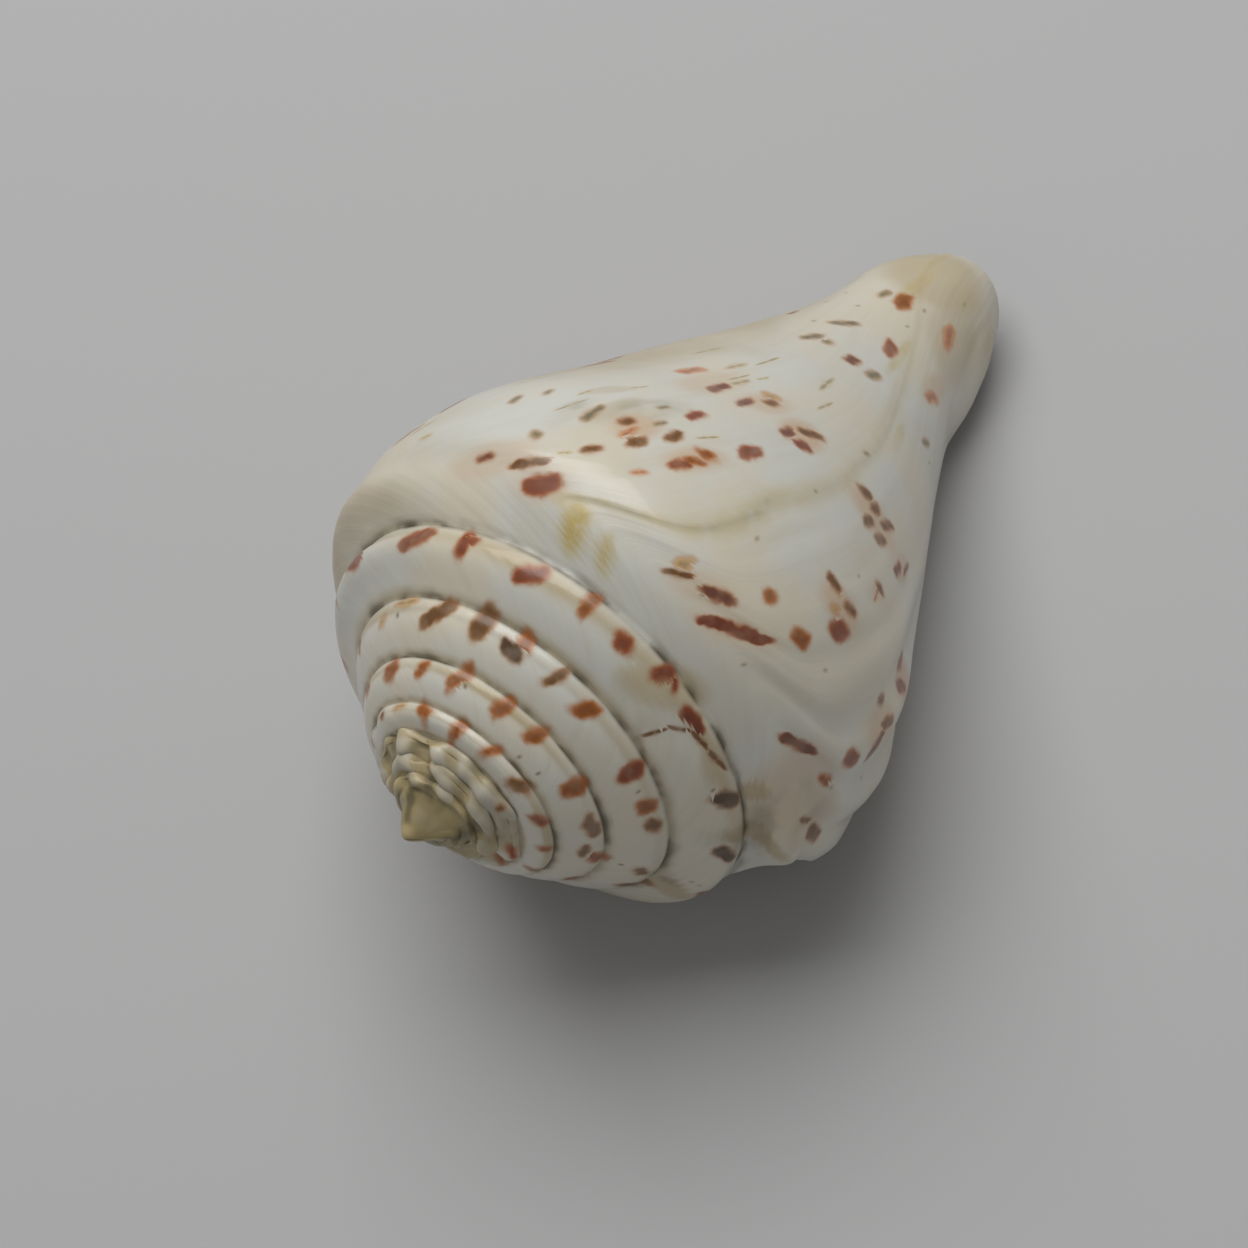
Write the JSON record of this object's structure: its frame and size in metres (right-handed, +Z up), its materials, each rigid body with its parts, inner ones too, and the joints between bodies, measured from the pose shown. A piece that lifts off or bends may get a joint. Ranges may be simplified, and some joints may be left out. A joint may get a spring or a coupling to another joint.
{
  "type": "cone shell",
  "caption": "Empty spotted cone shell: a conical coiled sea shell with a stepped spire, a long narrow opening and an open front canal, lying on its opening.",
  "frame": {"origin": "on the surface that the shell rests on, under the middle of its box", "axes": "+Z up, +X along the shell from the pointed spire towards the front end, which is tipped down until it rests"},
  "size_m": [0.0512, 0.0336, 0.0309],
  "materials": {
    "shell": "glossy off-white porcelain with red-brown spots and faint yellow growth scars"
  },
  "bodies": {
    "root": {"shell": "shell"}
  },
  "joints": []
}
